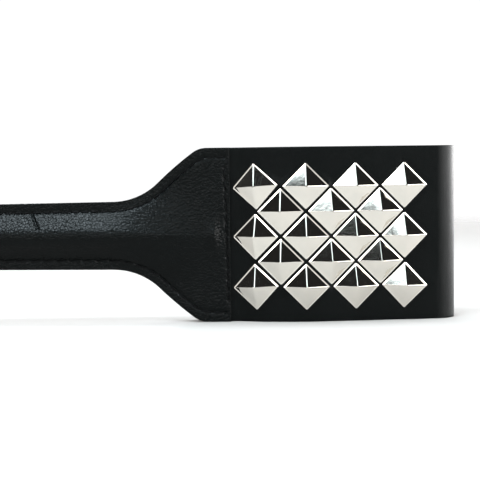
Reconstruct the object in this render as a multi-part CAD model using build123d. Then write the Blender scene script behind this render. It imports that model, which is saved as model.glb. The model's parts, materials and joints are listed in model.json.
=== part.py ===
from build123d import *
import os
from math import asin, atan2, cos, degrees, hypot, radians, sin, sqrt, tan

# A short riding crop with a broad folded flap. +X runs from the handle to the flap's fold, -Y is the
# studded front, +Z is up. The origin is on the surface it stands on, below the seam across the yoke.

# Flap: one leather strap folded in two, standing on its lower long edge
FLAP_WIDTH = 67.8
MID_Z = FLAP_WIDTH / 2
PLY = 2.8
BEND_X = 1.8            # line where the flap bends, just past the yoke's free edge
BEND_RADIUS = 2.5       # the strap is pressed a little thinner there
ROOT_RADIUS = 14.0      # each ply springs away from the other on this radius
FRONT_SPLAY = 19.0      # degrees that the front ply leaves the middle plane
FRONT_LEAN = 7.0        # degrees that it leans back again towards the fold
BULGE_X = 30.0          # the front ply stands furthest out here
FOLD_X = 90.0           # outside of the fold
FOLD_RADIUS = 7.9       # of the ply's middle line

# Studs: rows of diamonds on the front ply
STUD_SIDE = 12.7
STUD_HEIGHT = 4.4
STUD_SKIRT = 0.6
STUD_WALL = 0.8
STUD_CORNER = 0.45
STUD_TIP = 0.9
STUD_TIP_CORNER = 0.4
STUD_HOLLOW = 3.3       # depth of the hollow under the pyramid
STUD_SINK = 0.25        # how far a stud is pressed into the leather
PRONG_WIDTH = 2.0
PRONG_THICKNESS = 0.5
PRONG_FOOT = 3.4
PRONG_ROOT = 0.2        # how far a prong reaches up inside the stud
FIRST_COLUMN_X = 11.4
COLUMN_PITCH = 19.15
ROW_PITCH = 9.74
FIRST_ROW_Z = 52.6
ROW_COUNTS = (4, 3, 4, 3, 4)
STUD_TWISTS = {(1, 1): 3.6, (5, 1): 2.6, (5, 4): -2.0}  # degrees, row and column, set slightly askew

# Handle covers
COVER = 1.3
COVER_GAP = 0.05        # half the gap between the covers' flanges
COVER_REACH = 15.0      # more than the covers ever stand out from the middle plane
BUTT_X = -184.0
NECK_X = -44.6          # the straight handle ends and the flare begins
BUTT_HALF_WIDTH = 12.0
NECK_HALF_WIDTH = 13.3
YOKE_END_X = 1.2
FLARE_ANGLE = 44.0      # steepest slope of the yoke's outline
SHOULDER_ANGLE = 36.0
NECK_FILLET = 26.0
SHOULDER_CURVE = 129.1
SHOULDER_FILLET = 9.0
BUTT_CORNER = 6.0
SHEET_HALF_WIDTH = FLAP_WIDTH / 2 + 3.0     # the covers before they are cut to their outline

# Core rod and what is sewn in beside it
CORE_RADIUS = 5.6
CORE_TIP_RADIUS = 3.7
CORE_TIP_X = -3.6
CORE_TAPER_X = -45.0
CORE_START_X = BUTT_X + 19.0
CORE_START_ROUND = 1.5
CORE_TIP_ROUND = 1.2
CORE_ROOM = 0.15        # air between the core and the covers
CREST_Z = 3.2           # half the width of the rounded crest over the core
TONGUE_X = -15.0        # the strap's ends are full thickness from here on
SKIVE_X = -19.5         # and are pared down to an edge here
SKIVE_EDGE = 0.2
TONGUE_END_X = 0.2
NOTCH_HALF_WIDTH = 5.4
NOTCH_END_X = -3.2
HINGE_GAP = 0.3

# Hanging loop
LOOP_WIDTH = 7.0
LOOP_PLY = 1.5
LOOP_BEND_X = BUTT_X - 2.6
LOOP_LENGTH = 46.0
LOOP_END_RADIUS = 7.5
LOOP_ROOT_RADIUS = 8.0
TAIL_X = BUTT_X + 12.0
TAIL_WIDTH = LOOP_WIDTH - 0.6

# Stitching
THREAD_RADIUS = 0.3
STITCH_INSET = 3.7
UPPER_PITCH = 3.7
LOWER_PITCH = 5.2
SEAM_PITCH = 4.4
STITCH_SHARE = 0.78     # how much of each pitch the thread shows
SEAM_X = -0.2
SEAM_LEAN = 0.6         # the yoke seam's ends stand this far either side of its middle
BUTT_SEAM_X = BUTT_X + 3.6
EDGE_ROWS_X = BUTT_X + 8.0      # the edge rows start here

FRONT, BACK = -1, 1


# ---------------------------------------------------------------- covers

def yoke_line(inset, start_x, end_x):
    """Upper outline of the covers in the X-Z plane, or a line set in from it by `inset`."""
    taper = degrees(atan2(NECK_HALF_WIDTH - BUTT_HALF_WIDTH, NECK_X - BUTT_X))
    slope = (NECK_HALF_WIDTH - BUTT_HALF_WIDTH) / (NECK_X - BUTT_X)
    start = (start_x, MID_Z + NECK_HALF_WIDTH - inset - slope * (NECK_X - start_x))
    neck = (NECK_X, MID_Z + NECK_HALF_WIDTH - inset)
    straight = Line(start, neck)
    along = (cos(radians(taper)), sin(radians(taper)))
    hollow = JernArc(neck, along, NECK_FILLET + inset, FLARE_ANGLE - taper)
    shoulder = JernArc(hollow @ 1, hollow % 1, SHOULDER_CURVE - inset, SHOULDER_ANGLE - FLARE_ANGLE)
    corner = JernArc(shoulder @ 1, shoulder % 1, SHOULDER_FILLET - inset, -SHOULDER_ANGLE)
    top = Line(corner @ 1, (end_x, (corner @ 1).Y))
    return [straight, hollow, shoulder, corner, top]


def cover_outline():
    """Face of the covers seen from the front, drawn in X-Z, with the butt's corners rounded."""
    upper = yoke_line(0, BUTT_X, YOKE_END_X)
    centre = Plane(origin=(0, MID_Z, 0), z_dir=(0, 1, 0))
    lower = [edge.mirror(centre) for edge in upper]
    ends = [Line(upper[0] @ 0, lower[0] @ 0), Line(upper[-1] @ 1, lower[-1] @ 1)]
    face = make_face(Curve() + upper + lower + ends)
    return fillet(face.vertices().group_by(Axis.X)[0], BUTT_CORNER)


def outline_prism():
    """The outline as a thick block across the whole crop."""
    upright = Plane(origin=(0, 0, 0), x_dir=(1, 0, 0), z_dir=(0, -1, 0))
    return extrude(upright * cover_outline(), COVER_REACH, both=True)


def core_radius_at(x):
    share = min(max((x - CORE_TAPER_X) / (CORE_TIP_X - CORE_TAPER_X), 0), 1)
    return CORE_RADIUS + (CORE_TIP_RADIUS - CORE_RADIUS) * share


def crest_heights(radius, floor):
    """Inner heights of a cover over the core, at the crest, half way out and at the crest's edge."""
    return [max(sqrt(radius**2 - z**2), floor) for z in (0, CREST_Z / 2, CREST_Z)]


def cover_section(x, side, base_half, flange, heights):
    """Closed section of one cover at x: a flat flange, a straight slope and a rounded crest."""
    crest, middle, edge = heights
    half = [(SHEET_HALF_WIDTH, flange), (base_half, flange), (CREST_Z, edge), (CREST_Z / 2, middle)]
    inner = [(-z, y) for z, y in half] + [(0, crest)] + list(reversed(half))
    outer = [(z, y + COVER) for z, y in reversed(inner)]
    points = [Vector(x, side * y, MID_Z + z) for z, y in inner + outer]
    return Face(Wire.make_polygon(points, close=True))


def cover(side, prism):
    """One leather panel, from the butt to the yoke's free edge, lying over the core and the tongue."""
    tail_rise = LOOP_PLY + COVER_GAP
    tongue_rise = PLY + COVER_GAP
    flat = [tail_rise] * 3

    def over_core(x, floor=COVER_GAP):
        return crest_heights(core_radius_at(x) + CORE_ROOM, floor)

    stations = [
        (BUTT_X - 1, 7.0, COVER_GAP, flat),
        (BUTT_X + 8, 7.0, COVER_GAP, flat),
        (CORE_START_X - 1, 8.6, COVER_GAP, over_core(CORE_TAPER_X)),
        (CORE_TAPER_X, 9.8, COVER_GAP, over_core(CORE_TAPER_X)),
        (-30.0, 15.0, COVER_GAP, over_core(-30.0)),
        (SKIVE_X, 19.0, COVER_GAP + SKIVE_EDGE, over_core(SKIVE_X)),
        (TONGUE_X, 17.0, tongue_rise, over_core(TONGUE_X, tongue_rise)),
        (YOKE_END_X + 1, 12.0, tongue_rise, over_core(CORE_TIP_X, tongue_rise)),
    ]
    sections = [cover_section(x, side, base, flange, heights) for x, base, flange, heights in stations]
    return loft(sections, ruled=True) & prism


def flange_height(x):
    """Outside height of the covers' flanges above the middle plane."""
    rise = min(max((x - SKIVE_X) / (TONGUE_X - SKIVE_X), 0), 1)
    return COVER + COVER_GAP + rise * PLY


# ---------------------------------------------------------------- core, tongue and flap

def core_rod():
    """Dowel with a long taper and rounded ends."""
    profile = Polyline(
        (CORE_START_X, 0), (CORE_START_X, CORE_RADIUS), (CORE_TAPER_X, CORE_RADIUS),
        (CORE_TIP_X, CORE_TIP_RADIUS), (CORE_TIP_X, 0), close=True,
    )
    rod = revolve(make_face(profile), Axis.X)
    rod = fillet(rod.edges().group_by(Axis.X)[0], CORE_START_ROUND)
    rod = fillet(rod.edges().group_by(Axis.X)[-1], CORE_TIP_ROUND)
    return Pos(0, 0, MID_Z) * rod


def flap_tongue(prism):
    """The strap's two ends, glued, skived and notched round the core, hollowed for the bend."""
    half = [(SKIVE_X, SKIVE_EDGE), (TONGUE_X, PLY), (TONGUE_END_X, PLY)]
    plan = make_face(Polyline(*half, *[(x, -y) for x, y in reversed(half)], close=True))
    plan -= Pos(BEND_X, 0) * Circle(BEND_RADIUS + HINGE_GAP)
    notch_length = NOTCH_END_X - SKIVE_X + 1
    notch = Box(notch_length, 4 * PLY, 2 * NOTCH_HALF_WIDTH)
    return (extrude(plan, FLAP_WIDTH) & prism) - Pos(NOTCH_END_X - notch_length / 2, 0, MID_Z) * notch


def front_arc():
    """Radius, centre and end of the front ply's outward bulge, on the ply's middle line."""
    splay, lean = radians(FRONT_SPLAY), radians(FRONT_LEAN)
    start_x = BEND_X + ROOT_RADIUS * sin(splay)
    start_y = -PLY / 2 - ROOT_RADIUS * (1 - cos(splay))
    radius = (BULGE_X - start_x) / sin(splay)
    centre_y = start_y + radius * cos(splay)
    end = (BULGE_X + radius * sin(lean), centre_y - radius * cos(lean))
    return radius, (BULGE_X, centre_y), end


def front_ply_at(x):
    """Height of the front ply's middle line at x, and the angle that it runs at."""
    radius, centre, end = front_arc()
    if x > end[0]:
        return end[1] + (x - end[0]) * tan(radians(FRONT_LEAN)), FRONT_LEAN
    angle = asin((x - BULGE_X) / radius)
    return centre[1] - radius * cos(angle), degrees(angle)


def fold_centre():
    """Centre of the fold, which the front ply runs into at its own lean."""
    lean = radians(FRONT_LEAN)
    x = FOLD_X - FOLD_RADIUS - PLY / 2
    touch_x = x + FOLD_RADIUS * sin(lean)
    return x, front_ply_at(touch_x)[0] + FOLD_RADIUS * cos(lean)


def strap_path():
    """Middle line of the folded strap in plan: front root, bulge, fold, and straight back to the root."""
    start = (BEND_X, -PLY / 2)
    front_root = JernArc(start, (1, 0), ROOT_RADIUS, -FRONT_SPLAY)
    bulge = JernArc(front_root @ 1, front_root % 1, front_arc()[0], FRONT_SPLAY + FRONT_LEAN)
    fold_x, fold_y = fold_centre()
    lean = radians(FRONT_LEAN)
    touch = (fold_x + FOLD_RADIUS * sin(lean), fold_y - FOLD_RADIUS * cos(lean))
    front = Line(bulge @ 1, touch)
    root_y = PLY / 2 + ROOT_RADIUS
    apart = hypot(fold_x - BEND_X, fold_y - root_y)
    cross = asin((ROOT_RADIUS + FOLD_RADIUS) / apart)
    back_angle = atan2(fold_y - root_y, fold_x - BEND_X) + cross
    fold = JernArc(touch, front % 1, FOLD_RADIUS, 180 - FRONT_LEAN + degrees(back_angle))
    back_start = (BEND_X + ROOT_RADIUS * sin(back_angle), root_y - ROOT_RADIUS * cos(back_angle))
    back = Line(fold @ 1, back_start)
    back_root = JernArc((BEND_X, PLY / 2), (1, 0), ROOT_RADIUS, degrees(back_angle))
    return [front_root, bulge, front, fold, back, back_root]


def flap_strap():
    """The folded strap past the bend, with a round root that turns in the tongue's hollow."""
    plan = Pos(BEND_X, 0) * Circle(BEND_RADIUS)
    for edge in strap_path():
        plan += trace(edge, PLY)
    return extrude(plan, FLAP_WIDTH)


# ---------------------------------------------------------------- studs

def stud():
    """Pyramid stud on the X-Y plane with its point up, and four clenched prongs below."""
    outside = extrude(RectangleRounded(STUD_SIDE, STUD_SIDE, STUD_CORNER), STUD_SKIRT)
    tip = Pos(0, 0, STUD_HEIGHT) * RectangleRounded(STUD_TIP, STUD_TIP, STUD_TIP_CORNER)
    outside += loft([Pos(0, 0, STUD_SKIRT) * RectangleRounded(STUD_SIDE, STUD_SIDE, STUD_CORNER), tip])
    inner_side = STUD_SIDE - 2 * STUD_WALL
    inner = loft([
        Rectangle(inner_side, inner_side),
        Pos(0, 0, STUD_HOLLOW) * Rectangle(STUD_TIP, STUD_TIP),
    ])
    prong = Pos(STUD_SIDE / 2 - STUD_WALL / 2, 0) * stud_prong()
    prongs = [Rot(Z=90 * quarter) * prong for quarter in range(4)]
    return (outside - inner + prongs).solids()[0]


def stud_prong():
    """Prong that goes down through the leather and turns in under the stud."""
    depth = PLY - STUD_SINK + PRONG_THICKNESS
    leg = Pos(0, 0, (PRONG_ROOT - depth) / 2) * Box(PRONG_THICKNESS, PRONG_WIDTH, depth + PRONG_ROOT)
    foot = Pos((PRONG_THICKNESS - PRONG_FOOT) / 2, 0, PRONG_THICKNESS / 2 - depth)
    foot *= Box(PRONG_FOOT, PRONG_WIDTH, PRONG_THICKNESS)
    return leg + foot


def stud_place(row, column):
    """Where a stud sits on the front ply, square to the leather and turned to stand as a diamond."""
    offset = 0 if row % 2 else COLUMN_PITCH / 2
    x = FIRST_COLUMN_X + offset + (column - 1) * COLUMN_PITCH
    y, angle = front_ply_at(x)
    depth = PLY / 2 - STUD_SINK
    outward = Vector(sin(radians(angle)), -cos(radians(angle)), 0)
    origin = Vector(x, y, FIRST_ROW_Z - (row - 1) * ROW_PITCH) + outward * depth
    seat = Plane(origin=origin, x_dir=(cos(radians(angle)), sin(radians(angle)), 0), z_dir=outward)
    return seat.location * Rot(Z=45 + STUD_TWISTS.get((row, column), 0))


# ---------------------------------------------------------------- hanging loop

def loop_path(side):
    """Middle line of one half of the loop in plan, from its root out to the middle of its round end."""
    root_y = LOOP_PLY / 2 + LOOP_ROOT_RADIUS
    end_x = LOOP_BEND_X - LOOP_LENGTH + LOOP_END_RADIUS
    apart = hypot(end_x - LOOP_BEND_X, root_y)
    angle = asin((LOOP_ROOT_RADIUS + LOOP_END_RADIUS) / apart) - asin(root_y / apart)
    start = (LOOP_BEND_X - LOOP_ROOT_RADIUS * sin(angle), side * (root_y - LOOP_ROOT_RADIUS * cos(angle)))
    end = (end_x - LOOP_END_RADIUS * sin(angle), side * LOOP_END_RADIUS * cos(angle))
    root = JernArc((LOOP_BEND_X, side * LOOP_PLY / 2), (-1, 0), LOOP_ROOT_RADIUS, -side * degrees(angle))
    run = Line(start, end)
    turn = JernArc(end, run % 1, LOOP_END_RADIUS, side * (90 + degrees(angle)))
    return [root, run, turn]


def hanging_loop():
    """Strap bent into a drop shape, standing on edge, with a round root."""
    plan = Pos(LOOP_BEND_X, 0) * Circle(LOOP_PLY)
    for side in (FRONT, BACK):
        for edge in loop_path(side):
            plan += trace(edge, LOOP_PLY)
    return Pos(0, 0, MID_Z - LOOP_WIDTH / 2) * extrude(plan, LOOP_WIDTH)


def loop_tails():
    """The loop's two ends, side by side between the covers, hollowed for the bend."""
    length = TAIL_X - LOOP_BEND_X
    tails = Pos(LOOP_BEND_X + length / 2, 0, MID_Z) * Box(length, 2 * LOOP_PLY, TAIL_WIDTH)
    return tails - Pos(LOOP_BEND_X, 0, MID_Z) * Cylinder(LOOP_PLY + HINGE_GAP, LOOP_WIDTH)


# ---------------------------------------------------------------- stitching

def stitches(holes):
    """Short bars of thread between neighbouring holes, each a solid of its own."""
    bars = []
    for start, end in zip(holes, holes[1:]):
        run = end - start
        shown = run.length * STITCH_SHARE
        base = (start + end) * 0.5 - run.normalized() * (shown / 2)
        bars.append(Solid.make_cylinder(THREAD_RADIUS, shown, Plane(origin=base, z_dir=run)))
    return bars


def both_sides(path_points, height_at):
    """The same row of stitches on the front and on the back cover."""
    bars = []
    for side in (FRONT, BACK):
        bars += stitches([Vector(x, side * height_at(x), z) for x, z in path_points])
    return Compound(children=bars)


def edge_thread(sign, pitch):
    """Stitching along the upper (sign 1) or lower (sign -1) edge, as far as the yoke seam."""
    row = Wire(yoke_line(STITCH_INSET, EDGE_ROWS_X, SEAM_X - SEAM_LEAN))
    count = round(row.length / pitch)
    points = [row @ (step / count) for step in range(count + 1)]
    return both_sides([(p.X, MID_Z + sign * (p.Y - MID_Z)) for p in points], flange_height)


def yoke_seam_thread():
    """Stitching across the yoke, leaning a little, either side of the core's tip."""
    half = MID_Z - STITCH_INSET - SEAM_PITCH
    count = round(2 * half / SEAM_PITCH)
    steps = [2 * step / count - 1 for step in range(count + 1)]
    height = COVER + COVER_GAP + crest_heights(CORE_TIP_RADIUS + COVER_GAP, PLY + COVER_GAP)[1]
    points = [(SEAM_X - SEAM_LEAN * share, MID_Z + half * share) for share in steps]
    return both_sides(points, lambda x: height)


def butt_seam_thread():
    """Stitching across the butt, through the covers and the loop's tails."""
    steps = [-1, -1 / 3, 1 / 3, 1]
    points = [(BUTT_SEAM_X, MID_Z + LOOP_WIDTH / 2 * share) for share in steps]
    return both_sides(points, lambda x: LOOP_PLY + COVER)


# ---------------------------------------------------------------- assembly

def build():
    prism = outline_prism()
    nodes = {
        "handle_front_cover": cover(FRONT, prism),
        "handle_back_cover": cover(BACK, prism),
        "core_rod": core_rod(),
        "flap_tongue": flap_tongue(prism),
        "flap_strap": flap_strap(),
        "upper_edge_thread": edge_thread(1, UPPER_PITCH),
        "lower_edge_thread": edge_thread(-1, LOWER_PITCH),
        "yoke_seam_thread": yoke_seam_thread(),
        "butt_seam_thread": butt_seam_thread(),
        "loop_tails": loop_tails(),
        "hanging_loop": hanging_loop(),
    }
    pattern = stud()
    for row, count in enumerate(ROW_COUNTS, start=1):
        for column in range(1, count + 1):
            nodes[f"stud_r{row}_c{column}"] = stud_place(row, column) * pattern
    return nodes


os.makedirs("parts", exist_ok=True)
for name, shape in build().items():
    export_step(shape, f"parts/{name}.step")
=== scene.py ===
import json
from bisect import bisect
from math import asin, atan2, ceil, cos, exp, hypot, pi, radians, sin, sqrt, tan

import bmesh
import bpy
from mathutils import Matrix, Vector, kdtree, noise


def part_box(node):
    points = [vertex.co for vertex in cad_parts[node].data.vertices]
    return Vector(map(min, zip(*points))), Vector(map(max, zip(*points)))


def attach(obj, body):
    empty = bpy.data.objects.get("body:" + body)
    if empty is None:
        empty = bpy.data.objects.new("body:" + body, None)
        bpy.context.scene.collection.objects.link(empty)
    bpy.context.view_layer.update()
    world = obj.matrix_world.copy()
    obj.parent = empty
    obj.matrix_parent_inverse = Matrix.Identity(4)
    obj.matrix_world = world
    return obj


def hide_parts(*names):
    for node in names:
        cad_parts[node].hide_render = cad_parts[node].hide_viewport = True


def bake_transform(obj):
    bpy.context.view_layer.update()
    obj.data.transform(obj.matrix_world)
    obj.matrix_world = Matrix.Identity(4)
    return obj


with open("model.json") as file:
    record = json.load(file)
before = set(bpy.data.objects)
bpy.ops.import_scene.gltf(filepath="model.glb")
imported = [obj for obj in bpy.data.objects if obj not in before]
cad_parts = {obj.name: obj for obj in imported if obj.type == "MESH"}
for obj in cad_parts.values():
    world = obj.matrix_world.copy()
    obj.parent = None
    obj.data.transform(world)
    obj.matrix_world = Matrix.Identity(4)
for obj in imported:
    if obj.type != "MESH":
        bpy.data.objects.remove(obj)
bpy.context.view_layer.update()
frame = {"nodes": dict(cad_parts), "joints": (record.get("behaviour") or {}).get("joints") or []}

MM = 0.001

# ---------------------------------------------------------------- places taken from the frame

JOINTS = {joint["name"]: joint for joint in frame["joints"]}
BEND = Vector(JOINTS["flap_bend"]["pos_m"])
LOOP_BEND = Vector(JOINTS["loop_swing"]["pos_m"])
MID_Z = BEND.z
FLAP_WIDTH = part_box("flap_strap")[1].z
FOLD_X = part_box("flap_strap")[1].x
COVER_LOW, COVER_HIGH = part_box("handle_front_cover")
BUTT_X, YOKE_END_X = COVER_LOW.x, COVER_HIGH.x
CORE_START_X, CORE_TIP_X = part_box("core_rod")[0].x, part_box("core_rod")[1].x
LOOP_LOW, LOOP_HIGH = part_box("hanging_loop")
TAIL_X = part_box("loop_tails")[1].x

# ---------------------------------------------------------------- sizes

PLY = 2.8 * MM
ROOT_RADIUS = 14 * MM
FRONT_SPLAY = radians(19)
FRONT_LEAN = radians(7)
BULGE_X = 30 * MM
FOLD_RADIUS = 7.9 * MM

COVER = 1.3 * MM
COVER_GAP = 0.05 * MM
COVER_EDGE, STRAP_EDGE, LOOP_EDGE = 0.22 * MM, 0.35 * MM, 0.25 * MM
NECK_X = -44.6 * MM
BUTT_HALF = 12.0 * MM
NECK_HALF = 13.3 * MM
FLARE, SHOULDER = radians(44), radians(36)
NECK_FILLET = 26 * MM
SHOULDER_CURVE = 129.1 * MM
SHOULDER_FILLET = 9 * MM
BUTT_CORNER = 6 * MM

CORE_RADIUS = 5.75 * MM
CORE_TIP_RADIUS = 3.85 * MM
CORE_TAPER_X = -45 * MM
BUTT_RISE_X, BUTT_TOP_X = BUTT_X + 7 * MM, CORE_START_X + 1 * MM
TIP_FALL_X, TIP_FLAT_X = CORE_TIP_X - 1.6 * MM, -0.9 * MM
TIP_SWELL_X, TIP_SWELL = CORE_TIP_X - 1.8 * MM, 1.05 * MM
TIP_SWELL_LENGTH, TIP_SWELL_WIDTH = 2.6 * MM, 4.2 * MM
FLANGE_FILLET = 0.9 * MM
TAIL_FLAT = 4 * MM
TAIL_SLOPE = 0.5

SKIVE_X = -29 * MM
TONGUE_X = -8 * MM
SKIVE_LEFT = 0.06
NOTCH_HALF = 5.6 * MM
NOTCH_X = CORE_TIP_X + 0.6 * MM
SEAT_REACH = (0.3 * MM, 2.2 * MM)
SEAT_PINCH, SEAT_PINCH_FROM, SEAT_PINCH_REACH = 0.1 * MM, 0.5 * MM, 0.6 * MM

LOOP_PLY = 1.5 * MM
LOOP_ROOT_RADIUS = 8 * MM
LOOP_END_RADIUS = 7.5 * MM
LOOP_TAIL_SHARE = 0.96

STUD_SIDE = 12.7 * MM
STUD_HEIGHT = 3.85 * MM
STUD_SKIRT = 0.4 * MM
STUD_TIP = 0.5 * MM
STUD_RIM = 0.5 * MM
STUD_RIM_RISE = 0.13 * MM
SHARP_RIDGE, SOFT_RIDGE = 0.08 * MM, 0.36 * MM
STUD_SINK = 0.12 * MM
FIRST_COLUMN_X = 11.4 * MM
COLUMN_PITCH = 19.15 * MM
ROW_PITCH = 9.74 * MM
FIRST_ROW_Z = 52.6 * MM
ROW_COUNTS = (4, 3, 4, 3, 4)
STUD_TWISTS = {(1, 1): 3.6, (5, 1): 2.6, (5, 4): -2.0}

PRONG_SHEET = 0.5 * MM
PRONG_WIDTH = 2 * MM
PRONG_X = 5.95 * MM
PRONG_TOP = 0.4 * MM
PRONG_FOOT, PRONG_FOOT_X = 3.4 * MM, 4.5 * MM

THREAD, THREAD_FLATNESS = 0.3 * MM, 0.9
STITCH_SHARE = 0.92
STITCH_LEAN = 0.07
STITCH_ARCH = 0.3 * MM
STITCH_SINK = 0.1 * MM
ROW_DIP, ROW_REACH = 0.3 * MM, 0.9 * MM
HOLE_DIP, HOLE_REACH = 0.55 * MM, 0.45 * MM
STITCH_INSET = 3.7 * MM
EDGE_ROWS_X = BUTT_X + 8 * MM
UPPER_PITCH = 3.7 * MM
LOWER_PITCH = 5.2 * MM
SEAM_PITCH = 4.4 * MM
SEAM_X = -0.2 * MM
SEAM_LEAN = 0.6 * MM
BUTT_SEAM_X = BUTT_X + 3.6 * MM
BUTT_SEAM_HALF = 3.5 * MM

NICK_START, NICK_END = Vector((-75.9 * MM, 42.5 * MM)), Vector((-73.3 * MM, 37.0 * MM))
NICK_WIDTH = (0.3 * MM, 0.6 * MM)
NICK_DEPTH = 0.95 * MM
TORN_FROM, TORN_TO = (-150 * MM, -140 * MM), (-70 * MM, -62 * MM)
TORN_DEPTH, TORN_LENGTH = 0.16 * MM, 0.9 * MM

WAVE_SIZE, WAVE_DEPTHS = 13 * MM, (0.06 * MM, 0.16 * MM)
SLACK_X = (-60 * MM, -20 * MM)
PUCKER_SIZE, PUCKER_HEIGHT = 3.2 * MM, 0.05 * MM
STRAP_WAVE_SIZE, STRAP_WAVE = 16 * MM, 0.15 * MM
SEATED_FROM_X, WAVY_FROM_X = BEND.x + 0.1 * MM, BEND.x + 8 * MM
STILL_FRONT = FRONT_LEAN + 0.02
STRAP_FOLD_X = (FOLD_X - 10 * MM, FOLD_X - 2 * MM)
LOOP_FOLD_X = (LOOP_LOW.x + 6 * MM, LOOP_LOW.x + 14 * MM)
LOOP_WAVE_SIZE, LOOP_WAVE = 9 * MM, 0.12 * MM

FRONT, BACK = -1, 1

# Cells across the strap and the loop.
STRAP_ACROSS, LOOP_ACROSS = 72, 16


def smooth(low, high, value):
    """0 at low, 1 at high, and an even S between."""
    t = min(max((value - low) / (high - low), 0), 1)
    return t * t * (3 - 2 * t)


def mix(a, b, t):
    return a + (b - a) * t


def between(points, x):
    """Height at x of a line through (x, height) points."""
    if x <= points[0][0]:
        return points[0][1]
    if x >= points[-1][0]:
        return points[-1][1]
    at = bisect([point[0] for point in points], x)
    (x0, y0), (x1, y1) = points[at - 1], points[at]
    return mix(y0, y1, (x - x0) / (x1 - x0))


def walk(x, y, heading, moves):
    """Points (x, y, heading) along straights and arcs, each given as (length, turn, step)."""
    points = [(x, y, heading)]
    for length, turn, step in moves:
        count = max(1, ceil(length / step))
        part, bend = length / count, turn / count
        chord = part if abs(bend) < 1e-9 else 2 * part / bend * sin(bend / 2)
        for _ in range(count):
            x += chord * cos(heading + bend / 2)
            y += chord * sin(heading + bend / 2)
            heading += bend
            points.append((x, y, heading))
    return points


# ---------------------------------------------------------------- shader writing

class Value:
    """A shader socket that can be used in sums."""

    def __init__(self, shader, socket):
        self.shader, self.socket = shader, socket

    def math(self, operation, a, b):
        return self.shader.node("ShaderNodeMath", {"operation": operation}, {0: a, 1: b})["Value"]

    def __add__(self, other):
        return self.math("ADD", self, other)

    def __radd__(self, other):
        return self.math("ADD", other, self)

    def __sub__(self, other):
        return self.math("SUBTRACT", self, other)

    def __rsub__(self, other):
        return self.math("SUBTRACT", other, self)

    def __mul__(self, other):
        return self.math("MULTIPLY", self, other)

    def __rmul__(self, other):
        return self.math("MULTIPLY", other, self)

    def at_least(self, other):
        return self.math("MAXIMUM", self, other)

    def between(self, low, high):
        """0 at low and 1 at high, smoothly."""
        settings = {"interpolation_type": "SMOOTHSTEP", "clamp": True}
        values = {0: self, 1: low, 2: high, 3: 0.0, 4: 1.0}
        return self.shader.node("ShaderNodeMapRange", settings, values)["Result"]


class Outputs:
    """The outputs of one node, by name."""

    def __init__(self, shader, made):
        self.shader, self.made = shader, made

    def __getitem__(self, name):
        socket = next(out for out in self.made.outputs if out.name == name and out.enabled)
        return Value(self.shader, socket)


class Shader:
    """Writes the nodes of one material or world."""

    def __init__(self, tree):
        self.tree = tree
        tree.nodes.clear()

    def node(self, kind, settings=None, values=None):
        made = self.tree.nodes.new(kind)
        for name, value in (settings or {}).items():
            setattr(made, name, value)
        for name, value in (values or {}).items():
            by_name = {socket.name: socket for socket in made.inputs if socket.enabled}
            socket = made.inputs[name] if isinstance(name, int) else by_name[name]
            if isinstance(value, Value):
                self.tree.links.new(value.socket, socket)
            else:
                socket.default_value = value
        return Outputs(self, made)

    def place(self):
        return self.node("ShaderNodeTexCoord")["Object"]

    def attribute(self, name):
        return self.node("ShaderNodeAttribute", {"attribute_name": name})["Fac"]

    def vector(self, operation, values):
        return self.node("ShaderNodeVectorMath", {"operation": operation}, values)["Vector"]

    def length(self, vector):
        return self.node("ShaderNodeVectorMath", {"operation": "LENGTH"}, {0: vector})["Value"]

    def stretched(self, vector, scale, turn=(0, 0, 0)):
        values = {"Vector": vector, "Scale": scale, "Rotation": turn}
        return self.node("ShaderNodeMapping", {}, values)["Vector"]

    def noise(self, vector, scale, detail=4.0, rough=0.5):
        values = {"Vector": vector, "Scale": scale, "Detail": detail, "Roughness": rough}
        return self.node("ShaderNodeTexNoise", {}, values)["Fac"]

    def wandered(self, vector, scale, size):
        """The same place moved a little about, for patterns that shouldn't look ruled."""
        values = {"Vector": vector, "Scale": scale, "Detail": 2.0}
        colour = self.node("ShaderNodeTexNoise", {}, values)["Color"]
        centred = self.vector("SUBTRACT", {0: colour, 1: (0.5, 0.5, 0.5)})
        drift = self.vector("SCALE", {0: centred, "Scale": size})
        return self.vector("ADD", {0: vector, 1: drift})

    def cells(self, vector, scale, feature="DISTANCE_TO_EDGE"):
        values = {"Vector": vector, "Scale": scale}
        return self.node("ShaderNodeTexVoronoi", {"feature": feature}, values)["Distance"]

    def blend(self, factor, a, b):
        """One colour turning into another."""
        a, b = [colour if isinstance(colour, Value) else (*colour, 1) for colour in (a, b)]
        settings = {"data_type": "RGBA", "clamp_factor": True}
        made = self.node("ShaderNodeMix", settings, {0: factor, 6: a, 7: b}).made
        return Value(self, made.outputs[2])

    def bump(self, height, distance, strength=1.0, under=None):
        values = {"Height": height, "Distance": distance, "Strength": strength}
        if under is not None:
            values["Normal"] = under
        return self.node("ShaderNodeBump", {}, values)["Normal"]

    def surface(self, **values):
        named = {name.replace("_", " "): value for name, value in values.items()}
        shader = self.node("ShaderNodeBsdfPrincipled", {}, named)["BSDF"]
        self.node("ShaderNodeOutputMaterial", {}, {"Surface": shader})


def material(name, write):
    made = bpy.data.materials.new(name)
    made.use_nodes = True
    write(Shader(made.node_tree))
    return made


# ---------------------------------------------------------------- materials

# Patterns are given in cells per metre, and bumps by their depth.

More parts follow.
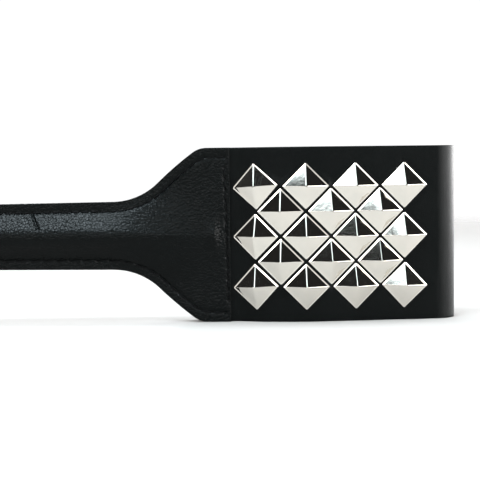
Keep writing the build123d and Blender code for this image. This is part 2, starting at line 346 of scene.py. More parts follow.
PEBBLES, SMALL_PEBBLES, PORES = 950, 2100, 4200
PEBBLE_DEPTH = 0.14 * MM
PUCKER_DEPTH = 0.7 * MM
WAX_GRAIN_DEPTH = 0.035 * MM
WAX_WAVE_DEPTH = 0.6 * MM
COVER_GLOSS, STRAP_GLOSS = 0.09, 0.075
BLACK, BLACK_BLOOM = (0.0007, 0.0012, 0.0012), (0.0018, 0.0028, 0.0027)
RUBBED_BLACK, STRETCHED_BLACK = (0.006, 0.0075, 0.0078), (0.010, 0.0115, 0.0112)
EDGE_DYE, EDGE_FIBRE = (0.004, 0.0045, 0.0045), (0.020, 0.0215, 0.021)
# The torn edge's raw fibre colour: partly the fibres' own paler colour, partly a painted highlight where
# light from above catches the upper edge.
EDGE_BLOTCH, RAW_FIBRE_AND_HIGHLIGHT = (0.006, 0.0066, 0.0066), (0.10, 0.098, 0.092)
THREAD_DARK, THREAD_WAX = (0.0004, 0.0004, 0.0005), (0.0022, 0.0024, 0.0026)
NICKEL, TARNISH = (0.74, 0.705, 0.64), (0.68, 0.655, 0.60)
WOOD_DARK, WOOD_PALE = (0.36, 0.22, 0.11), (0.62, 0.43, 0.24)
FLOOR_GREY, FLOOR_PALE = (0.345, 0.319, 0.303), (0.36, 0.333, 0.317)
FLOOR_FADE = (0.55, 1.15)


def write_cover_leather(shader):
    """Black grained leather, drawn tight over the core."""
    place = shader.place()
    bent = shader.wandered(place, 700, 0.5 * MM)
    pebble = shader.cells(bent, PEBBLES).between(0.0, 0.34)
    away = shader.cells(bent, PEBBLES, "F1")
    small = shader.cells(bent, SMALL_PEBBLES).between(0.0, 0.3)
    pores = shader.noise(place, PORES, 2)
    patch = shader.noise(place, 210, 4, 0.6)
    broad = shader.noise(place, 45, 4)
    worn = shader.noise(place, 900, 5, 0.7).between(0.55, 0.72)
    shade = shader.blend(pebble * 0.6 + broad * 0.5, BLACK, BLACK_BLOOM)
    shade = shader.blend(worn * 0.25, shade, RUBBED_BLACK)
    normal = shader.bump(patch, PUCKER_DEPTH, 0.22)
    grain = pebble * 0.3 + small * 0.12 + pores * 0.08 - away * away
    normal = shader.bump(grain, PEBBLE_DEPTH, 1.0, normal)
    rough = 0.22 - pebble * 0.05 + broad * 0.06
    shader.surface(Base_Color=shade, Roughness=rough, Specular_IOR_Level=COVER_GLOSS, Normal=normal)


def write_strap_leather(shader):
    """Heavy black waxed leather, finer in grain than the covers, with drawn lines at the fold."""
    place = shader.place()
    cells = shader.cells(place, SMALL_PEBBLES).between(0.0, 0.25)
    fine = shader.noise(place, 3200, 3)
    broad = shader.noise(place, 38, 5)
    fold = shader.attribute("fold")
    lines = shader.noise(shader.stretched(place, (1500, 1500, 160)), 1.0, 4, 0.6)
    shade = shader.blend(cells * 0.5 + broad * 0.6, BLACK, BLACK_BLOOM)
    shade = shader.blend(fold * lines.between(0.5, 0.7) * 0.5, shade, STRETCHED_BLACK)
    normal = shader.bump(broad, WAX_WAVE_DEPTH, 0.2)
    grain = cells * 0.5 + fine * 0.4 + fold * lines * 1.6
    normal = shader.bump(grain, WAX_GRAIN_DEPTH, 1.0, normal)
    rough = 0.31 - cells * 0.05 + broad * 0.08 - fold * 0.02
    shader.surface(Base_Color=shade, Roughness=rough, Specular_IOR_Level=STRAP_GLOSS, Normal=normal)


def write_cut_edge(shader):
    """Cut edge of the leather: dyed, a little fibrous and greyer than the grain side, with paler raw
    fibre on the torn upper edge that is partly the fibres' own colour and partly painted highlight from
    the top light.
    """
    place = shader.place()
    fibre = shader.noise(shader.stretched(place, (420, 2600, 2600)), 1.0, 4, 0.65)
    blotch = shader.noise(place, 140, 3).between(0.42, 0.68)
    shade = shader.blend(fibre.between(0.4, 0.7), EDGE_DYE, EDGE_FIBRE)
    shade = shader.blend(blotch * 0.5, shade, EDGE_BLOTCH)
    # Paler raw fibre on the torn upper edge: the fibres' own colour together with a painted highlight
    # from the light above.
    shade = shader.blend(shader.attribute("raw_and_top_lit") * fibre.between(0.3, 0.6), shade, RAW_FIBRE_AND_HIGHLIGHT)
    normal = shader.bump(fibre, 0.18 * MM, 0.9)
    rough = 0.62 + fibre * 0.2
    shader.surface(Base_Color=shade, Roughness=rough, Specular_IOR_Level=STRAP_GLOSS, Normal=normal)


def write_waxed_thread(shader):
    """Black waxed thread, strands twisted together."""
    place = shader.place()
    values = {"Vector": place, "Scale": 1100.0, "Distortion": 0.8, "Detail": 1.0}
    settings = {"wave_type": "BANDS", "bands_direction": "DIAGONAL"}
    twist = shader.node("ShaderNodeTexWave", settings, values)["Fac"]
    fuzz = shader.noise(place, 5200, 2)
    shade = shader.blend(twist, THREAD_DARK, THREAD_WAX)
    normal = shader.bump(twist * 0.8 + fuzz * 0.3, 0.1 * MM, 0.8)
    rough = 0.55 + fuzz * 0.15
    shader.surface(Base_Color=shade, Roughness=rough, Specular_IOR_Level=STRAP_GLOSS, Normal=normal)


def write_polished_stud(shader):
    """Bright nickel plate with faint polishing marks and a little tarnish."""
    place = shader.place()
    broad = shader.noise(place, 150, 3)
    scuff = shader.noise(shader.stretched(place, (300, 900, 2600), (0.4, 0, 0.3)), 1.0, 4, 0.6)
    shade = shader.blend(broad.between(0.35, 0.7) * 0.6, NICKEL, TARNISH)
    normal = shader.bump(broad, 0.08 * MM, 0.25)
    rough = 0.045 + scuff.between(0.52, 0.8) * 0.06 + broad * 0.03
    shader.surface(Base_Color=shade, Metallic=1.0, Roughness=rough, Normal=normal)


def write_dowel_wood(shader):
    """Plain pale hardwood."""
    place = shader.place()
    rings = shader.noise(shader.stretched(place, (60, 900, 900)), 1.0, 4, 0.6)
    shade = shader.blend(rings, WOOD_DARK, WOOD_PALE)
    normal = shader.bump(rings, 0.2 * MM, 0.5)
    shader.surface(Base_Color=shade, Roughness=0.55 + rings * 0.2, Normal=normal)


def write_pale_floor(shader):
    """Smooth white table top, gone into the white surroundings further out."""
    place = shader.place()
    mottle = shader.noise(place, 9, 3)
    shade = shader.blend(mottle, FLOOR_GREY, FLOOR_PALE)
    values = {"Base Color": shade, "Roughness": 0.6 + mottle * 0.05, "Specular IOR Level": 0.1,
              "Emission Color": (1, 1, 1, 1), "Emission Strength": 0.05}
    opaque = shader.node("ShaderNodeBsdfPrincipled", {}, values)["BSDF"]
    clear = shader.node("ShaderNodeBsdfTransparent")["BSDF"]
    far_out = shader.length(place).between(*FLOOR_FADE)
    mixed = shader.node("ShaderNodeMixShader", {}, {0: far_out, 1: opaque, 2: clear})["Shader"]
    shader.node("ShaderNodeOutputMaterial", {}, {"Surface": mixed})


COVER_LEATHER = material("cover_leather", write_cover_leather)
STRAP_LEATHER = material("strap_leather", write_strap_leather)
CUT_EDGE = material("cut_edge", write_cut_edge)
WAXED_THREAD = material("waxed_thread", write_waxed_thread)
POLISHED_STUD = material("polished_stud", write_polished_stud)
DOWEL_WOOD = material("dowel_wood", write_dowel_wood)
PALE_FLOOR = material("pale_floor", write_pale_floor)


# ---------------------------------------------------------------- leather work

def slab(along, across, left_out=lambda i, j: False):
    """A closed flat sheet in cells: X and Z count the cells, and Y is 0 inside and 1 outside."""
    bm = bmesh.new()
    bmesh.ops.create_grid(bm, x_segments=along, y_segments=across, size=0.5)
    bmesh.ops.translate(bm, verts=bm.verts, vec=(0.5, 0.5, 0))
    bmesh.ops.scale(bm, verts=bm.verts, vec=(along, across, 1))
    bmesh.ops.rotate(bm, verts=bm.verts, matrix=Matrix.Rotation(radians(90), 3, "X"))
    gone = [f for f in bm.faces if left_out(f.calc_center_median().x, f.calc_center_median().z)]
    bmesh.ops.delete(bm, geom=gone, context="FACES")
    bmesh.ops.solidify(bm, geom=bm.faces[:], thickness=1)
    for face in bm.faces:
        face.normal_update()
        face.material_index = 0 if abs(face.normal.y) > 0.5 else 1
    for vert in bm.verts:
        vert.co.y = abs(vert.co.y)
    return bm


def shaped(bm, place, rounding):
    """Bends the sheet into place and rounds its cut edges."""
    for vert in bm.verts:
        vert.co = place(round(vert.co.x), round(vert.co.y), round(vert.co.z))
    bmesh.ops.recalc_face_normals(bm, faces=bm.faces)
    rims = [e for e in bm.edges if {f.material_index for f in e.link_faces} == {0, 1}]
    bmesh.ops.bevel(bm, geom=rims, offset=rounding, segments=3, affect="EDGES", profile=0.5, material=-1)
    return bm


def finished(bm, name, *materials):
    """The bmesh as a smooth object at the origin."""
    mesh = bpy.data.meshes.new(name)
    bm.to_mesh(mesh)
    bm.free()
    for entry in materials:
        mesh.materials.append(entry)
    mesh.shade_smooth()
    made = bpy.data.objects.new(name, mesh)
    bpy.context.scene.collection.objects.link(made)
    return made


def mark(obj, name, share_at):
    """Stores a share from 0 to 1 on each point, which the materials read."""
    layer = obj.data.attributes.new(name, "FLOAT", "POINT")
    layer.data.foreach_set("value", [share_at(point.co) for point in obj.data.vertices])


def ripple(x, z, size, seed):
    """Slow unevenness of worked leather, from -1 to 1."""
    return noise.noise(Vector((x / size + seed, seed, z / size)))


# ---------------------------------------------------------------- outline and stitch rows

def yoke_line(inset, start_x, end_x, step):
    """Upper outline of the covers, or a line set in from it, as (x, half width, heading)."""
    slope = (NECK_HALF - BUTT_HALF) / (NECK_X - BUTT_X)
    taper = atan2(slope, 1)
    start = NECK_HALF - inset - slope * (NECK_X - start_x)
    arcs = [
        (NECK_FILLET + inset, FLARE - taper),
        (SHOULDER_CURVE - inset, SHOULDER - FLARE),
        (SHOULDER_FILLET - inset, -SHOULDER),
    ]
    moves = [(hypot(NECK_X - start_x, slope * (NECK_X - start_x)), 0, step)]
    moves += [(radius * abs(turn), turn, step) for radius, turn in arcs]
    line = walk(start_x, start, taper, moves)
    return line + walk(*line[-1], [(end_x - line[-1][0], 0, step)])[1:]


OUTLINE = [(x, half) for x, half, _ in yoke_line(0, BUTT_X, YOKE_END_X, 0.3 * MM)]
OUTLINE_X = [x for x, _ in OUTLINE]


def half_width(x):
    """Half width of the covers at x, with the butt's corners rounded."""
    at = min(max(bisect(OUTLINE_X, x), 1), len(OUTLINE) - 1)
    (x0, y0), (x1, y1) = OUTLINE[at - 1], OUTLINE[at]
    half = mix(y0, y1, min(max((x - x0) / (x1 - x0), 0), 1))
    corner = max(BUTT_CORNER - (x - BUTT_X), 0)
    return half - BUTT_CORNER + sqrt(max(BUTT_CORNER**2 - corner**2, 0))


def evenly(points, pitch):
    """Points along a line, spaced evenly at about the pitch."""
    runs = [0]
    for a, b in zip(points, points[1:]):
        runs.append(runs[-1] + hypot(b[0] - a[0], b[1] - a[1]))
    count = round(runs[-1] / pitch)
    xs = list(zip(runs, [p[0] for p in points]))
    zs = list(zip(runs, [p[1] for p in points]))
    stops = [runs[-1] * k / count for k in range(count + 1)]
    return [(between(xs, stop), between(zs, stop)) for stop in stops]


def edge_row(sign, pitch):
    line = yoke_line(STITCH_INSET, EDGE_ROWS_X, SEAM_X - SEAM_LEAN, 0.5 * MM)
    return [(x, MID_Z + sign * half) for x, half in evenly([p[:2] for p in line], pitch)]


def yoke_seam_row():
    half = MID_Z - STITCH_INSET - SEAM_PITCH
    count = round(2 * half / SEAM_PITCH)
    steps = [2 * k / count - 1 for k in range(count + 1)]
    return [(SEAM_X - SEAM_LEAN * share, MID_Z + half * share) for share in steps]


def butt_seam_row():
    return [(BUTT_SEAM_X, MID_Z + BUTT_SEAM_HALF * share) for share in (-1, -1 / 3, 1 / 3, 1)]


ROWS = {
    "upper_edge": edge_row(1, UPPER_PITCH),
    "lower_edge": edge_row(-1, LOWER_PITCH),
    "yoke_seam": yoke_seam_row(),
    "butt_seam": butt_seam_row(),
}


def tree_of(points):
    tree = kdtree.KDTree(len(points))
    for index, (x, z) in enumerate(points):
        tree.insert((x, 0, z), index)
    tree.balance()
    return tree


HOLES = tree_of([point for row in ROWS.values() for point in row])
SEAM_STEPS = 8
SEAMS = tree_of([
    (mix(a[0], b[0], k / SEAM_STEPS), mix(a[1], b[1], k / SEAM_STEPS))
    for row in ROWS.values() for a, b in zip(row, row[1:]) for k in range(SEAM_STEPS + 1)
])


# ---------------------------------------------------------------- covers

# Along the covers: how far from the middle they come down from the core to the flange.
BASES = [
    (BUTT_X, 7.0 * MM), (BUTT_X + 8 * MM, 7.0 * MM), (CORE_START_X - 1 * MM, 8.6 * MM),
    (CORE_TAPER_X, 9.8 * MM), (-30 * MM, 15 * MM), (-19.5 * MM, 19 * MM), (-15 * MM, 17 * MM),
    (YOKE_END_X + 1 * MM, 12 * MM),
]
BASE_SHIFTS = [shift * MM for shift in (-4, -2, 0, 2, 4)]


def soft_top(a, b, reach):
    """The larger of two heights, with a fillet where they cross."""
    meet = max(reach - abs(a - b), 0) / reach
    return max(a, b) + meet * meet * reach / 4


def cover_inside(x, z):
    """Height of a cover's inner face above the middle plane."""
    off = abs(z - MID_Z)
    share = min(max((x - CORE_TAPER_X) / (CORE_TIP_X - CORE_TAPER_X), 0), 1)
    radius = mix(CORE_RADIUS, CORE_TIP_RADIUS, share)
    flange = COVER_GAP + PLY * smooth(SKIVE_X, TONGUE_X, x)
    base = sum(between(BASES, x + shift) for shift in BASE_SHIFTS) / len(BASE_SHIFTS)
    slope = asin(radius / hypot(base, flange)) - atan2(flange, base)
    crest = radius * sin(slope)
    if off < crest:
        tent = sqrt(radius**2 - off**2)
    else:
        tent = radius * cos(slope) - (off - crest) * tan(slope)
    over_core = smooth(BUTT_RISE_X, BUTT_TOP_X, x) * (1 - smooth(TIP_FALL_X, TIP_FLAT_X, x))
    tails = LOOP_PLY + COVER_GAP - max(off - TAIL_FLAT, 0) * TAIL_SLOPE
    low = max(flange, tails) if x < TAIL_X + TAIL_FLAT else flange
    from_tip = ((x - TIP_SWELL_X) / TIP_SWELL_LENGTH) ** 2 + (off / TIP_SWELL_WIDTH) ** 2
    swell = TIP_SWELL * exp(-from_tip)
    return soft_top(mix(low, tent, over_core), flange, FLANGE_FILLET) + swell * over_core


def cover_waves(x, z, side):
    """Slow waves in the face of a cover, deeper towards the yoke, and puckers along it."""
    waves = ripple(x, z, WAVE_SIZE, 3 * side) * mix(*WAVE_DEPTHS, smooth(*SLACK_X, x))
    puckers = ripple(x * 0.25, z, PUCKER_SIZE, 7 * side) * PUCKER_HEIGHT
    return waves + puckers


def nick(x, z):
    """A small open crease in the front cover, wider at its lower end."""
    point, run = Vector((x, z)) - NICK_START, NICK_END - NICK_START
    share = min(max(point.dot(run) / run.length_squared, 0), 1)
    away = (point - run * share).length
    return NICK_DEPTH * exp(-((away / mix(*NICK_WIDTH, share)) ** 2))


def cover_outside(x, z, side):
    """Height of a cover's outer face, before the stitching draws it in."""
    return cover_inside(x, z) + COVER + cover_waves(x, z, side)


def drawn_in(x, z):
    """How far the stitching draws the leather in."""
    row, hole = SEAMS.find((x, 0, z))[2], HOLES.find((x, 0, z))[2]
    return ROW_DIP * exp(-((row / ROW_REACH) ** 2)) + HOLE_DIP * exp(-((hole / HOLE_REACH) ** 2))


def spaced(start, end, step):
    """Values from start up to, but not with, end."""
    count = ceil((end - start) / step)
    return [start + (end - start) * k / count for k in range(count)]


# Lines across a cover stand closest at the crease and at the core's tip: (end of stretch, step).
LINE_STEPS = [
    (-88 * MM, 0.8 * MM), (-78 * MM, 0.5 * MM), (-71 * MM, 0.28 * MM), (-6 * MM, 0.45 * MM),
    (YOKE_END_X, 0.3 * MM),
]
COVER_LINES = [BUTT_X + BUTT_CORNER * (1 - cos(radians(10 * k))) for k in range(9)]
stretch_x = BUTT_X + BUTT_CORNER
for end_x, step in LINE_STEPS:
    COVER_LINES += spaced(stretch_x, end_x, step)
    stretch_x = end_x
COVER_LINES.append(YOKE_END_X)
RIM_LINES, INNER_LINES = 16, 92
RIM_STEP = 0.35 * MM


def cover_z(half, j):
    """Height of line j across a cover: close together along both edges, even between them."""
    step = RIM_STEP * min(half / BUTT_HALF, 1)
    rim = half - RIM_LINES * step
    if j < RIM_LINES:
        return MID_Z - half + j * step
    if j > RIM_LINES + INNER_LINES:
        return MID_Z + half - (2 * RIM_LINES + INNER_LINES - j) * step
    return MID_Z + rim * (2 * (j - RIM_LINES) / INNER_LINES - 1)


def rough_cut(x):
    """1 along the stretch of the handle's upper edge where the knife tore the leather."""
    return smooth(*TORN_FROM, x) * (1 - smooth(*TORN_TO, x))


def cover(name, side):
    """One cover, from the butt to the yoke's free edge, with its stitch rows drawn in."""
    across = 2 * RIM_LINES + INNER_LINES

    def place(i, depth, j):
        x = COVER_LINES[i]
        z = cover_z(half_width(x), j)
        if j > across - 3:
            tear = noise.noise(Vector((x / TORN_LENGTH, depth * 3.1, side)))
            z += tear * TORN_DEPTH * rough_cut(x)
        if not depth:
            return Vector((x, side * cover_inside(x, z), z))
        height = cover_outside(x, z, side) - drawn_in(x, z)
        if side == FRONT:
            height -= nick(x, z)
        return Vector((x, side * height, z))

    panel = shaped(slab(len(COVER_LINES) - 1, across), place, COVER_EDGE)
    made = finished(panel, name, COVER_LEATHER, CUT_EDGE)
    # Marks the torn stretch on the upper edge only, where paler fibre and a painted highlight from the
    # top light are laid on.
    mark(made, "raw_and_top_lit", lambda co: rough_cut(co.x) if co.z > MID_Z else 0)
    return made


# ---------------------------------------------------------------- folded strap

def front_arc():
    """Radius, centre and end of the front ply's bulge, on the ply's middle line."""
    start_x = BEND.x + ROOT_RADIUS * sin(FRONT_SPLAY)
    start_y = -PLY / 2 - ROOT_RADIUS * (1 - cos(FRONT_SPLAY))
    radius = (BULGE_X - start_x) / sin(FRONT_SPLAY)
    centre_y = start_y + radius * cos(FRONT_SPLAY)
    return radius, centre_y, (BULGE_X + radius * sin(FRONT_LEAN), centre_y - radius * cos(FRONT_LEAN))


BULGE_RADIUS, BULGE_Y, BULGE_END = front_arc()


def front_ply_at(x):
    """Height of the front ply's middle line at x, and the angle that it runs at."""
    if x > BULGE_END[0]:
        return BULGE_END[1] + (x - BULGE_END[0]) * sin(FRONT_LEAN) / cos(FRONT_LEAN), FRONT_LEAN
    angle = asin((x - BULGE_X) / BULGE_RADIUS)
    return BULGE_Y - BULGE_RADIUS * cos(angle), angle


def strap_route():
    """Middle line of the whole strap in plan: front end, bulge, fold, and back to the other end."""
    fold_x = FOLD_X - FOLD_RADIUS - PLY / 2
    touch_x = fold_x + FOLD_RADIUS * sin(FRONT_LEAN)
    fold_y = front_ply_at(touch_x)[0] + FOLD_RADIUS * cos(FRONT_LEAN)
    root_y = PLY / 2 + ROOT_RADIUS
    apart = hypot(fold_x - BEND.x, fold_y - root_y)
    back_angle = atan2(fold_y - root_y, fold_x - BEND.x) + asin((ROOT_RADIUS + FOLD_RADIUS) / apart)
    front_run = (touch_x - BULGE_END[0]) / cos(FRONT_LEAN)
    back_run = sqrt(apart**2 - (ROOT_RADIUS + FOLD_RADIUS) ** 2)
    tongue = BEND.x - SKIVE_X
    turn = pi - FRONT_LEAN + back_angle
    return walk(SKIVE_X, -PLY / 2, 0, [
        (tongue, 0, 0.9 * MM),
        (ROOT_RADIUS * FRONT_SPLAY, -FRONT_SPLAY, 0.7 * MM),
        (BULGE_RADIUS * (FRONT_SPLAY + FRONT_LEAN), FRONT_SPLAY + FRONT_LEAN, 0.9 * MM),
        (front_run, 0, 0.8 * MM),
        (FOLD_RADIUS * turn, turn, 0.4 * MM),
        (back_run, 0, 1.2 * MM),
        (ROOT_RADIUS * back_angle, -back_angle, 0.7 * MM),
        (tongue, 0, 0.9 * MM),
    ])


def stud_seat(row, column):
    """Where a stud sits: X along the ply, Y up, Z out of the leather, at the leather's face."""
    offset = 0 if row % 2 else COLUMN_PITCH / 2
    x = FIRST_COLUMN_X + offset + (column - 1) * COLUMN_PITCH
    y, angle = front_ply_at(x)
    outward = Vector((sin(angle), -cos(angle), 0))
    along = Vector((cos(angle), sin(angle), 0))
    origin = Vector((x, y, FIRST_ROW_Z - (row - 1) * ROW_PITCH)) + outward * PLY / 2
    seat = Matrix((along, Vector((0, 0, 1)), outward)).transposed().to_4x4()
    seat.translation = origin
    return seat @ Matrix.Rotation(radians(STUD_TWISTS.get((row, column), 0)), 4, "Z")


SEATS = {
    (row, column): stud_seat(row, column)
    for row, count in enumerate(ROW_COUNTS, start=1) for column in range(1, count + 1)
}
SEATS_BACK = {key: seat.inverted() for key, seat in SEATS.items()}


def flattened(point, outer):
    """Moves a point of the front ply as the studs flatten the leather under them."""
    reach = STUD_SIDE / sqrt(2)
    best, seat, local = None, None, None
    for key, back in SEATS_BACK.items():
        here = back @ outer
        away = (abs(here.x) + abs(here.y) - reach) / sqrt(2)
        if best is None or away < best:
            best, seat, local = away, SEATS[key], here
    share = 1 - smooth(*SEAT_REACH, best)
    pinch = SEAT_PINCH * exp(-(((best - SEAT_PINCH_FROM) / SEAT_PINCH_REACH) ** 2))
    outward = seat.to_3x3().col[2]
    return point - outward * (local.z * share + pinch)


def strap():
    """The folded strap, one piece from end to end, notched for the core and pared at its ends."""
    route = strap_route()
    last = len(route) - 1

    def in_notch(i, j):
        x = route[min(round(i), last)][0]
        return x < NOTCH_X and abs(2 * j / STRAP_ACROSS - 1) * FLAP_WIDTH / 2 < NOTCH_HALF

    def place(i, depth, j):
        x, y, heading = route[i]
        outward = Vector((sin(heading), -cos(heading), 0))
        half = min(half_width(x), FLAP_WIDTH / 2)
        z = MID_Z + (2 * j / STRAP_ACROSS - 1) * half
        point = Vector((x, y, z)) + outward * (depth - 0.5) * PLY
        outer = Vector((x, y, z)) + outward * 0.5 * PLY
        if x > SEATED_FROM_X and i < last / 2 and heading < STILL_FRONT:
            point = flattened(point, outer)
        elif x > WAVY_FROM_X:
            point += outward * ripple(x, z, STRAP_WAVE_SIZE, 5) * STRAP_WAVE
        if x < TONGUE_X:
            point.y *= max((x - SKIVE_X) / (TONGUE_X - SKIVE_X), SKIVE_LEFT)
        return point

    sheet = shaped(slab(last, STRAP_ACROSS, in_notch), place, STRAP_EDGE)
    made = finished(sheet, "folded_strap", STRAP_LEATHER, CUT_EDGE)
    mark(made, "fold", lambda co: smooth(*STRAP_FOLD_X, co.x))
    return made


# ---------------------------------------------------------------- hanging loop

def loop_route():
    """Middle line of the loop in plan, from one tail round to the other."""
    root_y = LOOP_PLY / 2 + LOOP_ROOT_RADIUS
    end_x = LOOP_LOW.x + LOOP_PLY / 2 + LOOP_END_RADIUS
    apart = hypot(end_x - LOOP_BEND.x, root_y)
    angle = asin((LOOP_ROOT_RADIUS + LOOP_END_RADIUS) / apart) - asin(root_y / apart)
    run = sqrt(apart**2 - (LOOP_ROOT_RADIUS + LOOP_END_RADIUS) ** 2)
    root = (LOOP_ROOT_RADIUS * angle, 0.4 * MM)
    tail = TAIL_X - LOOP_BEND.x
    turn = pi + 2 * angle
    return walk(TAIL_X, LOOP_PLY / 2, pi, [
        (tail, 0, 0.6 * MM),
        (root[0], -angle, root[1]),
        (run, 0, 0.8 * MM),
        (LOOP_END_RADIUS * turn, turn, 0.5 * MM),
        (run, 0, 0.8 * MM),
        (root[0], -angle, root[1]),
        (tail, 0, 0.6 * MM),
    ])


def hanging_loop():
    """The loop, one strip from tail to tail."""
    route = loop_route()
    width = LOOP_HIGH.z - LOOP_LOW.z

    def place(i, depth, j):
        x, y, heading = route[i]
        outward = Vector((sin(heading), -cos(heading), 0))
        half = width / 2 * (LOOP_TAIL_SHARE if x > LOOP_BEND.x else 1)
        z = MID_Z + (2 * j / LOOP_ACROSS - 1) * half + ripple(x, y, LOOP_WAVE_SIZE, 2) * LOOP_WAVE
        return Vector((x, y, z)) + outward * (depth - 0.5) * LOOP_PLY

    strip = shaped(slab(len(route) - 1, LOOP_ACROSS), place, LOOP_EDGE)
    made = finished(strip, "loop_strap", STRAP_LEATHER, CUT_EDGE)
    mark(made, "fold", lambda co: 1 - smooth(*LOOP_FOLD_X, co.x))
    return made


# ---------------------------------------------------------------- stitches and studs

def stitch(bm, start, end, outward):
    """One pull of thread between two holes, arched over the leather and dipping at both ends."""
    made = bmesh.ops.create_uvsphere(bm, u_segments=6, v_segments=6, radius=1)["verts"]
    run = end - start
    length = run.length * STITCH_SHARE
    side = outward.cross(run).normalized()
    along = (run.normalized() + side * STITCH_LEAN).normalized()
    up = along.cross(outward.cross(along)).normalized() * -1
    if up.dot(outward) < 0:
        up = -up
    frame_of = Matrix((along.cross(up) * -1, up, along)).transposed().to_4x4()
    frame_of.translation = (start + end) / 2
    bmesh.ops.scale(bm, verts=made, vec=(THREAD, THREAD * THREAD_FLATNESS, length / 2))
    for vert in made:
        vert.co.y -= STITCH_ARCH * (2 * vert.co.z / length) ** 2
    bmesh.ops.transform(bm, verts=made, matrix=frame_of)


def stitches(name, row):
    """The same row of stitches on both covers."""
    bm = bmesh.new()
    for side in (FRONT, BACK):
        points = [Vector((x, side * (cover_outside(x, z, side) - STITCH_SINK), z)) for x, z in row]
        for start, end in zip(points, points[1:]):
            stitch(bm, start, end, Vector((0, side, 0)))
    bmesh.ops.recalc_face_normals(bm, faces=bm.faces)
    return finished(bm, name, WAXED_THREAD)


def box_part(bm, size, centre):
    """A small square-edged bar."""
    verts = bmesh.ops.create_cube(bm, size=1)["verts"]
    bmesh.ops.scale(bm, verts=verts, vec=size)
    bmesh.ops.translate(bm, verts=verts, vec=centre)
    return verts


def stud_pattern():
    """A pyramid stud on a low skirt, with four prongs turned in behind the leather."""
    bm = bmesh.new()
    corner = STUD_SIDE / sqrt(2)
    shoulder = corner - STUD_RIM * sqrt(2)
    rise = STUD_HEIGHT - STUD_SKIRT - STUD_RIM_RISE
    bmesh.ops.create_cone(bm, cap_ends=True, segments=4, radius1=shoulder, radius2=STUD_TIP, depth=rise)
    bmesh.ops.translate(bm, verts=bm.verts, vec=(0, 0, STUD_HEIGHT - rise / 2))
    cap = min(bm.faces, key=lambda face: face.calc_center_median().z)
    for grow, drop in ((corner / shoulder, STUD_RIM_RISE), (1, STUD_SKIRT)):
        cap = bmesh.ops.extrude_discrete_faces(bm, faces=[cap])["faces"][0]
        bmesh.ops.scale(bm, verts=cap.verts[:], vec=(grow, grow, 1))
        bmesh.ops.translate(bm, verts=cap.verts[:], vec=(0, 0, -drop))
    for axis, offset in ((0, SOFT_RIDGE), (1, SHARP_RIDGE)):
        ridges = [e for e in bm.edges if all(abs(v.co[axis]) < 1e-6 for v in e.verts)]
        bmesh.ops.bevel(
            bm, geom=ridges, offset=offset, segments=5, affect="EDGES", profile=0.5, material=-1,
        )
    depth = PLY - STUD_SINK
    leg_top, leg_end = PRONG_TOP, -depth - 0.3 * MM
    leg_size = (PRONG_SHEET, PRONG_WIDTH, leg_top - leg_end)
    foot_size = (PRONG_FOOT, PRONG_WIDTH, PRONG_SHEET)
    for quarter in range(4):
        leg = box_part(bm, leg_size, (PRONG_X, 0, (leg_top + leg_end) / 2))
        foot = box_part(bm, foot_size, (PRONG_FOOT_X, 0, -depth - PRONG_SHEET / 2))
        turn = Matrix.Rotation(radians(45 + 90 * quarter), 3, "Z")
        bmesh.ops.rotate(bm, verts=leg + foot, matrix=turn)
    bmesh.ops.translate(bm, verts=bm.verts, vec=(0, 0, -STUD_SINK))
    bmesh.ops.recalc_face_normals(bm, faces=bm.faces)
    mesh = bpy.data.meshes.new("stud_pattern")
    bm.to_mesh(mesh)
    bm.free()
    return mesh


def stud(pattern, row, column):
    """One stud pressed into the front ply."""
    bm = bmesh.new()
    bm.from_mesh(pattern)
    bmesh.ops.transform(bm, verts=bm.verts, matrix=SEATS[row, column])
    made = finished(bm, f"pyramid_stud_r{row}_c{column}", POLISHED_STUD)
    made.data.shade_flat()
    return made


# ---------------------------------------------------------------- assembly

for side, side_name in ((FRONT, "front"), (BACK, "back")):
    piece = cover(f"{side_name}_cover", side)
    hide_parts(f"handle_{side_name}_cover")
    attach(piece, "handle")

for row_name, row in ROWS.items():
    piece = stitches(f"{row_name}_stitches", row)
    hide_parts(f"{row_name}_thread")
    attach(piece, "handle")

piece = strap()
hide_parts("flap_strap", "flap_tongue")
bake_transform(piece)

piece = hanging_loop()
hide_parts("hanging_loop", "loop_tails")
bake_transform(piece)

pattern = stud_pattern()
for row, column in SEATS:
    piece = stud(pattern, row, column)
    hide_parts(f"stud_r{row}_c{column}")
    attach(piece, "flap")

core = frame["nodes"]["core_rod"]
core.data.materials.clear()
core.data.materials.append(DOWEL_WOOD)

# ---------------------------------------------------------------- floor, light and camera

FLOOR_RADIUS = 1.2

bm = bmesh.new()
bmesh.ops.create_circle(bm, cap_ends=True, segments=64, radius=FLOOR_RADIUS)
floor = finished(bm, "floor", PALE_FLOOR)

STAGE_CENTRE = Vector((5 * MM, -6 * MM, 32 * MM))


def softbox(name, low, high, height, radiance, colour):
    """A level rectangle of light over the floor, from its low to its high corner in plan."""
    light = bpy.data.lights.new(name, "AREA")
    light.shape = "RECTANGLE"
    light.size, light.size_y = high[0] - low[0], high[1] - low[1]
    light.energy = radiance * pi * light.size * light.size_y
    light.color = colour
    made = bpy.data.objects.new(name, light)
    made.location = ((low[0] + high[0]) / 2, (low[1] + high[1]) / 2, height)
    made.visible_camera = False
    bpy.context.scene.collection.objects.link(made)


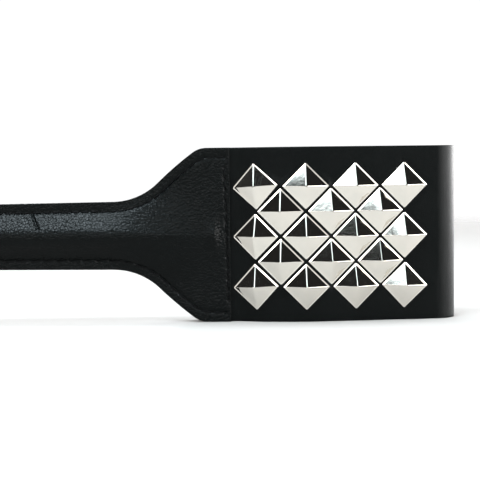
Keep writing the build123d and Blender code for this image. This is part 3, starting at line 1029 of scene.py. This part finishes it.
SOFTBOX_HEIGHT = 1.0
SOFTBOX_COLOUR = (0.80, 0.93, 1.0)
SOFTBOX_PARTS = {
    "key": ((-0.34, -0.42), (0.0, -0.12), 46.0),
    "back": ((-0.4, 0.0), (0.4, 0.35), 14.0),
    "front": ((-0.49, -1.13), (0.25, -0.56), 2.7),
    "left": ((-0.60, -0.98), (-0.49, 0.9), 2.7),
    "far_left": ((-0.86, -0.77), (-0.60, 0.9), 2.7),
    "high_front": ((-0.22, -2.2), (0.18, -1.13), 5.0),
}
for part_name, (low, high, radiance) in SOFTBOX_PARTS.items():
    softbox(f"{part_name}_light", low, high, SOFTBOX_HEIGHT, radiance, SOFTBOX_COLOUR)

RIGHT_WALL, FRONT_STRIP, FRONT_LEFT = 13, 1.05, 8
AROUND, BEHIND = 0.02, 1.05

world = bpy.data.worlds.new("studio")
world.use_nodes = True
shader = Shader(world.node_tree)
direction = shader.node("ShaderNodeSeparateXYZ", {}, {0: shader.node("ShaderNodeTexCoord")["Generated"]})
backdrop = direction["Y"].between(-0.1, 0.35)
below = (0 - direction["Z"]).between(-0.02, 0.08)
low_down = 1 - direction["Z"].between(0.25, 0.42)
right_wall = direction["X"].between(0.3, 0.75) * direction["Y"].between(-0.95, -0.5) * low_down
right_wall = right_wall * RIGHT_WALL
front_strip = direction["Z"].between(0.12, 0.2) * (1 - direction["Z"].between(0.36, 0.42))
front_strip = front_strip * FRONT_STRIP
left_glow = (0 - direction["X"]).between(-0.2, 0.0) * (1 - (0 - direction["X"]).between(0.6, 0.75))
front_left = left_glow * direction["Z"].between(0.2, 0.3) * (1 - direction["Z"].between(0.37, 0.42))
front_left = front_left * FRONT_LEFT
level = backdrop.at_least(below).at_least(right_wall).at_least(front_strip).at_least(front_left)
level = level + AROUND
WHITE = (1, 1, 1, 1)
around = shader.node("ShaderNodeBackground", {}, {"Color": WHITE, "Strength": level})["Background"]
seen = shader.node("ShaderNodeBackground", {}, {"Color": WHITE, "Strength": BEHIND})["Background"]
is_seen = shader.node("ShaderNodeLightPath")["Is Camera Ray"]
both = shader.node("ShaderNodeMixShader", {}, {0: is_seen, 1: around, 2: seen})["Shader"]
shader.node("ShaderNodeOutputWorld", {}, {"Surface": both})
bpy.context.scene.world = world

DISTANCE = 0.48
CAMERA_HEIGHT = 60 * MM
FRAME_WIDTH = 185.5 * MM
SENSOR_WIDTH = 36
ROLL = radians(0.7)

camera_data = bpy.data.cameras.new("camera")
camera_data.sensor_width = SENSOR_WIDTH
camera_data.lens = SENSOR_WIDTH * DISTANCE / FRAME_WIDTH
camera = bpy.data.objects.new("camera", camera_data)
camera.location = STAGE_CENTRE + Vector((0, -DISTANCE, CAMERA_HEIGHT - STAGE_CENTRE.z))
aim = (STAGE_CENTRE - camera.location).to_track_quat("-Z", "Y")
camera.rotation_euler = (aim.to_matrix() @ Matrix.Rotation(-ROLL, 3, "Z")).to_euler()
bpy.context.scene.collection.objects.link(camera)
bpy.context.scene.camera = camera

bpy.context.scene.view_settings.view_transform = "Standard"
